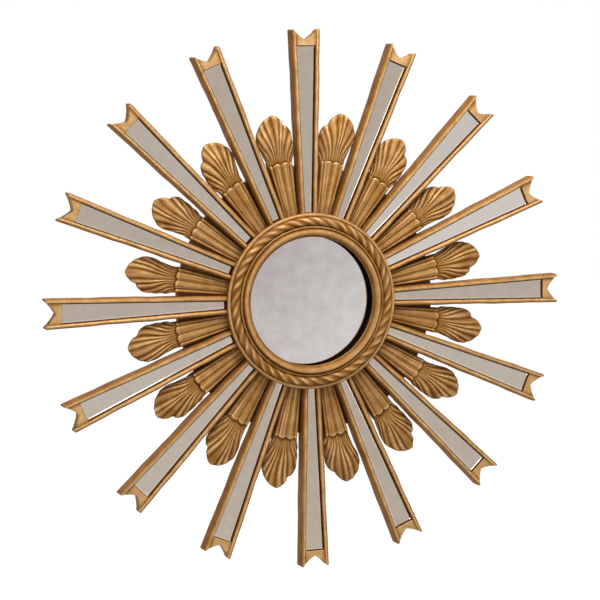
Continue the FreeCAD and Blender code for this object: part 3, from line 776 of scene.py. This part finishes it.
def makeHangerRing(wire, name, body, node, sideSign):
    # a bent wire: the path is an oval with squared corners that narrows downwards, with the bar
    # at its top in the strap's eye; a circle is carried along the path, and the whole leans
    angle = np.linspace(0, 2 * math.pi, wire["around"], endpoint=False)
    squareX, squareZ = (
        np.sign(turn) * np.abs(turn) ** wire["squareness"]
        for turn in (np.cos(angle), np.sin(angle))
    )
    down = (1 - squareZ) / 2
    narrow = wire["half"] + (wire["lowHalf"] - wire["half"]) * softStep(down, 0.45, 1)
    path = np.stack([squareX * narrow, np.zeros_like(squareX), -wire["drop"] * down], -1)
    ahead = np.roll(path, -1, 0) - np.roll(path, 1, 0)
    ahead /= np.linalg.norm(ahead, axis=1, keepdims=True)
    sideways = np.cross(ahead, [0, 1, 0])
    ringAngle = np.linspace(0, 2 * math.pi, wire["facets"], endpoint=False)
    ring = (
        path[:, None] + wire["wire"] * np.cos(ringAngle)[None, :, None] * sideways[:, None]
        + wire["wire"] * np.sin(ringAngle)[None, :, None] * np.array([0, 1, 0])
    )
    lean = math.radians(wire["lean"])
    y, z = ring[..., 1].copy(), ring[..., 2].copy()
    ring[..., 1] = y * math.cos(lean) - z * math.sin(lean)
    ring[..., 2] = y * math.sin(lean) + z * math.cos(lean)
    ring += np.array([sideSign * wire["spread"], -wire["eyeDepth"], wire["height"]])
    quads = gridQuads(wire["around"], wire["facets"], wrapRows=True, wrapColumns=True)
    piece = meshFromArrays(name, ring, quads[:, ::-1], sharpAngle=wire["sharpAngle"])
    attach(piece, body)
    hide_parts(node)
    return piece


hangerRings = [
    makeHangerRing(wireShape, "hanger_wire_left", "left_ring", "hanger_ring_left", -1),
    makeHangerRing(wireShape, "hanger_wire_right", "right_ring", "hanger_ring_right", 1),
]
print("hanger rings made")


# Materials

class Wire:
    # a socket of a material's nodes, with arithmetic; make() adds any other node
    def __init__(self, tree, socket=None):
        self.tree = tree
        self.socket = socket

    def make(self, kind, settings=None, sockets=None, output=0):
        node = self.tree.nodes.new(kind)
        for key, value in (settings or {}).items():
            if key == "stops":
                setStops(node.color_ramp, value)
            else:
                setattr(node, key, value)
        for key, value in (sockets or {}).items():
            if isinstance(value, Wire):
                self.tree.links.new(value.socket, node.inputs[key])
            else:
                node.inputs[key].default_value = value
        return Wire(self.tree, node.outputs[output])

    def math(self, operation, *values):
        return self.make("ShaderNodeMath", {"operation": operation}, dict(enumerate(values)))

    def __add__(self, other):
        return self.math("ADD", self, other)

    def __radd__(self, other):
        return self.math("ADD", other, self)

    def __sub__(self, other):
        return self.math("SUBTRACT", self, other)

    def __rsub__(self, other):
        return self.math("SUBTRACT", other, self)

    def __mul__(self, other):
        return self.math("MULTIPLY", self, other)

    def __rmul__(self, other):
        return self.math("MULTIPLY", other, self)


def setStops(ramp, stops):
    # stops are pairs of a place from 0 to 1 and a colour
    while len(ramp.elements) > 1:
        ramp.elements.remove(ramp.elements[-1])
    for index, (place, colour) in enumerate(stops):
        element = ramp.elements[0] if index == 0 else ramp.elements.new(place)
        element.position = place
        element.color = (*colour, 1)


def startMaterial(name):
    # a material with its shader, and the place on the piece, in metres, for the textures
    material = bpy.data.materials.new(name)
    material.use_nodes = True
    tree = material.node_tree
    tree.nodes.clear()
    wire = Wire(tree)
    shader = tree.nodes.new("ShaderNodeBsdfPrincipled")
    output = tree.nodes.new("ShaderNodeOutputMaterial")
    tree.links.new(shader.outputs[0], output.inputs[0])
    place = wire.make("ShaderNodeTexCoord", output=3)
    return material, wire, shader, place


def feed(wire, shader, **values):
    # feeds sockets of the shader, by names written without spaces
    names = {
        "baseColor": "Base Color", "roughness": "Roughness", "metallic": "Metallic",
        "normal": "Normal", "gloss": "Specular IOR Level", "edge": "Specular Tint",
    }
    for key, value in values.items():
        socket = shader.inputs[names[key]]
        if isinstance(value, Wire):
            wire.tree.links.new(value.socket, socket)
        else:
            socket.default_value = value


def noise(wire, place, scale, detail=3, roughness=0.55):
    return wire.make("ShaderNodeTexNoise", None, {
        "Vector": place, "Scale": scale, "Detail": detail, "Roughness": roughness,
    })


def mixColour(wire, share, first, second, blend="MIX"):
    # sockets 0, 6 and 7 are the share and the two colours, and output 2 is the mixed colour
    settings = {"data_type": "RGBA", "blend_type": blend}
    return wire.make("ShaderNodeMix", settings, {0: share, 6: first, 7: second}, 2)


def spread(wire, value, low, high):
    # stretches the part of a value between low and high to 0 .. 1
    return wire.make("ShaderNodeMapRange", None, {0: value, 1: low, 2: high, 3: 0.0, 4: 1.0})


def bumpFrom(wire, height, strength, distance):
    sockets = {"Strength": strength, "Distance": distance, "Height": height}
    return wire.make("ShaderNodeBump", None, sockets)


gilding = {
    "stops": [
        (0.0, (0.010, 0.0025, 0.0004)),
        (0.15, (0.042, 0.0095, 0.0010)),
        (0.3, (0.112, 0.034, 0.0050)),
        (0.45, (0.220, 0.087, 0.017)),
        (0.6, (0.350, 0.168, 0.045)),
        (0.75, (0.500, 0.278, 0.103)),
        (0.9, (0.700, 0.445, 0.200)),
        (1.0, (0.900, 0.660, 0.360)),
    ],
    "crestShare": 0.66,
    "patchScale": 46,
    "patchShare": 0.42,
    "grainScale": 170,
    "grainShare": 0.14,
    "pink": (0.400, 0.215, 0.105, 1),
    "pinkScale": 21,
    "pinkShare": 0.35,
    "metallic": 0.26,
    "roughness": 0.46,
    "gloss": 0.14,
    "edge": (0.80, 0.50, 0.20, 1),
    "woodShift": 0.195,
    "castShift": 0.215,
}


def makeGilding(look, name, toneShift):
    # aged gold: the tone follows the crest attribute, from brown in the hollows to pale gold on
    # the ridges, broken by patches of wear, a fine grain and a pinkish ground that shows through;
    # the crest also carries the pieces' painted highlights and painted shade
    material, wire, shader, place = startMaterial(name)
    crest = wire.make("ShaderNodeAttribute", {"attribute_name": "crest"}, output=2)
    patches = noise(wire, place, look["patchScale"], 4, 0.6)
    grain = noise(wire, place, look["grainScale"], 3, 0.5)
    ground = noise(wire, place, look["pinkScale"], 3, 0.5)
    tone = crest * look["crestShare"] + (patches - 0.5) * look["patchShare"]
    tone = tone + (grain - 0.5) * look["grainShare"] + toneShift
    colour = wire.make("ShaderNodeValToRGB", {"stops": look["stops"]}, {0: tone})
    shown = spread(wire, ground, 0.42, 0.68) * spread(wire, crest, 0.15, 0.6)
    colour = mixColour(wire, shown * look["pinkShare"], colour, look["pink"])
    height = grain * 0.15 + patches * 0.8
    worn = 1 - spread(wire, crest, 0.2, 1.0)
    feed(
        wire, shader, baseColor=colour,
        metallic=spread(wire, crest, 0.05, 0.6) * look["metallic"],
        roughness=look["roughness"] + worn * 0.16 + (patches - 0.5) * 0.2,
        normal=bumpFrom(wire, height, 0.16, 0.0007), gloss=look["gloss"], edge=look["edge"],
    )
    return material


stripSilvering = {
    "tone": (0.385, 0.315, 0.245, 1),
    "cloudTone": (0.615, 0.565, 0.520, 1),
    "cloudScale": 60,
    "contrast": 0.16,
    "slope": 0,
    "spots": 0.25,
    "roughness": 0.08,
}
roundSilvering = {
    "tone": (0.455, 0.412, 0.400, 1),
    "cloudTone": (0.610, 0.588, 0.578, 1),
    "cloudScale": 34,
    "contrast": 1.0,
    "slope": 1.1,
    "spots": 0.3,
    "roughness": 0.03,
}


def makeSilvering(look, name):
    # antiqued mirror: a silvered face with soft clouds, a few dark specks and, with a slope, a
    # slow change from the upper left to the lower right; crest is the paleness of a whole strip
    material, wire, shader, place = startMaterial(name)
    clouds = noise(wire, place, look["cloudScale"], 5, 0.62)
    fine = noise(wire, place, 260, 3, 0.6)
    specks = spread(wire, noise(wire, place, 140, 2, 0.5), 0.70, 0.78)
    across = wire.make("ShaderNodeSeparateXYZ", None, {0: place}, 0)
    up = wire.make("ShaderNodeSeparateXYZ", None, {0: place}, 2)
    share = (clouds - 0.5) * (1 - 0.4 * min(look["slope"], 1)) + (fine - 0.5) * 0.35
    share = share + (across - up) * look["slope"] + 0.5
    pale = wire.make("ShaderNodeAttribute", {"attribute_name": "crest"}, output=2)
    share = spread(wire, share, 0.3, 0.7) * look["contrast"] + pale
    colour = mixColour(wire, share, look["tone"], look["cloudTone"])
    colour = mixColour(wire, specks * look["spots"], colour, (0.16, 0.13, 0.11, 1))
    feed(wire, shader, baseColor=colour, metallic=1.0, roughness=look["roughness"] + fine * 0.06)
    return material


def makeBoard(name, dark, light, scale):
    # a stained board: bands and fibres stretched along one way, with a faint fleck
    material, wire, shader, place = startMaterial(name)
    stretched = wire.make("ShaderNodeMapping", None, {"Vector": place, "Scale": (1.0, 8.0, 14.0)})
    bands = noise(wire, stretched, scale * 0.25, 4, 0.55)
    fibres = noise(wire, stretched, scale, 5, 0.65)
    fleck = noise(wire, place, 300, 2, 0.5)
    share = spread(wire, bands * 0.5 + fibres * 0.35 + fleck * 0.15, 0.36, 0.64)
    colour = mixColour(wire, share, (*dark, 1), (*light, 1))
    bump = bumpFrom(wire, fibres, 0.25, 0.0006)
    feed(wire, shader, baseColor=colour, roughness=0.72 + fleck * 0.15, normal=bump)
    return material


def makeZinc(name):
    # zinc plate: a pale bluish metal with soft spangles
    material, wire, shader, place = startMaterial(name)
    spangle = wire.make("ShaderNodeTexVoronoi", None, {"Vector": place, "Scale": 260.0}, 1)
    fine = noise(wire, place, 700, 2, 0.5)
    tone = mixColour(wire, 0.25, (0.56, 0.57, 0.58, 1), spangle, "SOFT_LIGHT")
    feed(wire, shader, baseColor=tone, metallic=1.0, roughness=0.28 + fine * 0.2)
    return material


def makeRubber(name):
    # black rubber, matt, with a fine grain in its tone and its surface
    material, wire, shader, place = startMaterial(name)
    fine = noise(wire, place, 900, 3, 0.6)
    colour = mixColour(wire, fine, (0.012, 0.012, 0.013, 1), (0.04, 0.04, 0.042, 1))
    bump = bumpFrom(wire, fine, 0.3, 0.0004)
    feed(wire, shader, baseColor=colour, roughness=0.7 + fine * 0.2, normal=bump)
    return material


def makeRebateShade(name):
    # painted shade: dull black on the wood inside the lip, where the lip's wall and its reflection
    # in the mirror lie in deep shade; dull black paint on the wood inside the lip, so that the
    # mirror doesn't show it
    material, wire, shader, place = startMaterial(name)
    wear = noise(wire, place, 120, 3, 0.6)
    colour = mixColour(wire, wear, (0.004, 0.003, 0.002, 1), (0.014, 0.010, 0.007, 1))
    feed(wire, shader, baseColor=colour, roughness=0.8 + wear * 0.15, gloss=0.0)
    return material


def dress(piece, material):
    piece.data.materials.clear()
    piece.data.materials.append(material)


woodGilding = makeGilding(gilding, "aged_gilding_wood", gilding["woodShift"])
castGilding = makeGilding(gilding, "aged_gilding_casting", gilding["castShift"])
stripSilver = makeSilvering(stripSilvering, "antiqued_strip_mirror")
roundSilver = makeSilvering(roundSilvering, "antiqued_round_mirror")
darkBoard = makeBoard("stained_board", (0.200, 0.092, 0.030), (0.440, 0.240, 0.095), 14)
brownBoard = makeBoard("brown_hardboard", (0.20, 0.125, 0.075), (0.34, 0.225, 0.140), 60)
zinc = makeZinc("zinc_plate")
rubber = makeRubber("black_rubber")
rebateShade = makeRebateShade("painted_shade_rebate")

for piece in rays + [ringPiece]:
    dress(piece, woodGilding)
# the faces inside the lip get the black painted shade
ringPiece.data.materials.append(rebateShade)
ringPiece.data.polygons.foreach_set("material_index", rebateFaces)  # after dress, which clears it
for piece in plumes + [ropePiece]:
    dress(piece, castGilding)
zincNodes = ("hanger_straps", "hanger_screws", "hanger_ring_left", "hanger_ring_right")
for piece in hangerRings + [nodes[name] for name in zincNodes]:
    dress(piece, zinc)
for piece in strips + [nodes[name] for name in nodes if name.startswith("ray_mirror")]:
    dress(piece, stripSilver)
dress(nodes["centre_mirror"], roundSilver)
dress(nodes["hub_board"], darkBoard)
dress(nodes["mirror_backing"], brownBoard)
dress(nodes["wall_bumpers"], rubber)
print("materials made")


# Camera, light and studio

cameraView = {
    "place": (-1.38415, -4.09573, 0.44678),
    "back": (-0.32167, -0.94114, 0.10383),
    "roll": -1.0,
    "lens": 139.5,
    "sensor": 36,
    "shift": (-0.01857, 0.00186),
}


def makeCamera(view):
    # the camera's own back, right and up: right is level, and both are then rolled a little
    data = bpy.data.cameras.new("photo_camera")
    data.sensor_width = view["sensor"]
    data.lens = view["lens"]
    data.shift_x, data.shift_y = view["shift"]
    camera = bpy.data.objects.new("photo_camera", data)
    bpy.context.scene.collection.objects.link(camera)
    back = Vector(view["back"]).normalized()
    right = Vector((0, 0, 1)).cross(back).normalized()
    up = back.cross(right)
    roll = math.radians(view["roll"])
    rolledRight = math.cos(roll) * right + math.sin(roll) * up
    rolledUp = -math.sin(roll) * right + math.cos(roll) * up
    turn = Matrix((rolledRight, rolledUp, back)).transposed().to_4x4()
    camera.matrix_world = Matrix.Translation(Vector(view["place"])) @ turn
    bpy.context.scene.camera = camera


studio = {
    "worldLevel": 0.25,
    "floorHeight": -1.3,
    "floorHalf": 12,
    "floorTone": 0.6,
    "floorGlow": 0.88,
}

# the glints are small lamps, all above the floor, that the bevels of rays 2, 3, 7 and 12 reflect
lamps = {
    "key": {"place": (0.2, -1.05, 1.95), "size": (1.1, 1.1), "power": 62},
    "fill": {"place": (-3.2, -2.6, 0.8), "size": (2.0, 2.0), "power": 40},
    "glint02": {"place": (3.05, -3.6, -0.41), "size": (0.12, 0.62), "turn": -20, "power": 1.3},
    "glint03": {"place": (2.68, -3.6, -1.17), "size": (0.12, 0.2), "turn": -38, "power": 0.3},
    "glint07": {"place": (1.464, -1.6, -1.033), "size": (0.14, 0.14), "power": 0.6},
    "glint12": {"place": (0.345, -1.6, -0.98), "size": (0.26, 0.05), "turn": 26, "power": 0.2},
}


def showWhite(wire):
    # 1 for the rays of the camera, of gloss and of clear glass, 0 for all others
    path = wire.tree.nodes.new("ShaderNodeLightPath")
    seen = Wire(wire.tree, path.outputs["Is Camera Ray"])
    glossy = Wire(wire.tree, path.outputs["Is Glossy Ray"])
    clear = Wire(wire.tree, path.outputs["Is Transmission Ray"])
    return wire.math("MINIMUM", seen + glossy + clear, 1.0)


def makeWorld(look):
    # full white where it is seen, and a lower level where it only lights the pieces
    world = bpy.data.worlds.new("studio_world")
    world.use_nodes = True
    tree = world.node_tree
    tree.nodes.clear()
    wire = Wire(tree)
    white = showWhite(wire)
    level = white * (1 - look["worldLevel"]) + look["worldLevel"]
    back = wire.make("ShaderNodeBackground", None, {"Color": (1, 1, 1, 1), "Strength": level})
    output = tree.nodes.new("ShaderNodeOutputWorld")
    tree.links.new(back.socket, output.inputs[0])
    bpy.context.scene.world = world


def makeLamp(name, lamp):
    # a rectangular lamp that faces the star's middle, turned in degrees about its own beam
    data = bpy.data.lights.new(name, "AREA")
    data.shape = "RECTANGLE"
    data.size, data.size_y = lamp["size"]
    data.energy = lamp["power"]
    piece = bpy.data.objects.new(name, data)
    bpy.context.scene.collection.objects.link(piece)
    piece.location = lamp["place"]
    beam = -Vector(lamp["place"])
    turn = Quaternion((0, 0, 1), math.radians(lamp.get("turn", 0)))
    piece.rotation_euler = (beam.to_track_quat("-Z", "Y") @ turn).to_euler()


def makeFloor(look):
    # a square floor that looks white and keeps the shadows that fall on its own shaded surface
    size = look["floorHalf"]
    corners = np.array([(-size, -size), (size, -size), (size, size), (-size, size)], float)
    points = np.column_stack([corners, np.full(4, look["floorHeight"])]) * mmPerMetre
    floor = meshFromArrays("studio_floor", points, np.array([[0, 1, 2, 3]]))
    material = bpy.data.materials.new("studio_floor")
    material.use_nodes = True
    tree = material.node_tree
    tree.nodes.clear()
    wire = Wire(tree)
    tone, glow = look["floorTone"], {"Color": (1, 1, 1, 1), "Strength": look["floorGlow"]}
    matt = wire.make("ShaderNodeBsdfDiffuse", None, {"Color": (tone, tone, tone, 1)})
    white = wire.make("ShaderNodeEmission", None, glow)
    both = wire.make("ShaderNodeAddShader", None, {0: matt, 1: white})
    mixed = wire.make("ShaderNodeMixShader", None, {0: showWhite(wire), 1: matt, 2: both})
    output = tree.nodes.new("ShaderNodeOutputMaterial")
    tree.links.new(mixed.socket, output.inputs[0])
    dress(floor, material)


makeCamera(cameraView)
makeWorld(studio)
for name, lamp in lamps.items():
    makeLamp(name + "_lamp", lamp)
makeFloor(studio)
bpy.context.scene.view_settings.view_transform = "Standard"
print("camera and studio made")
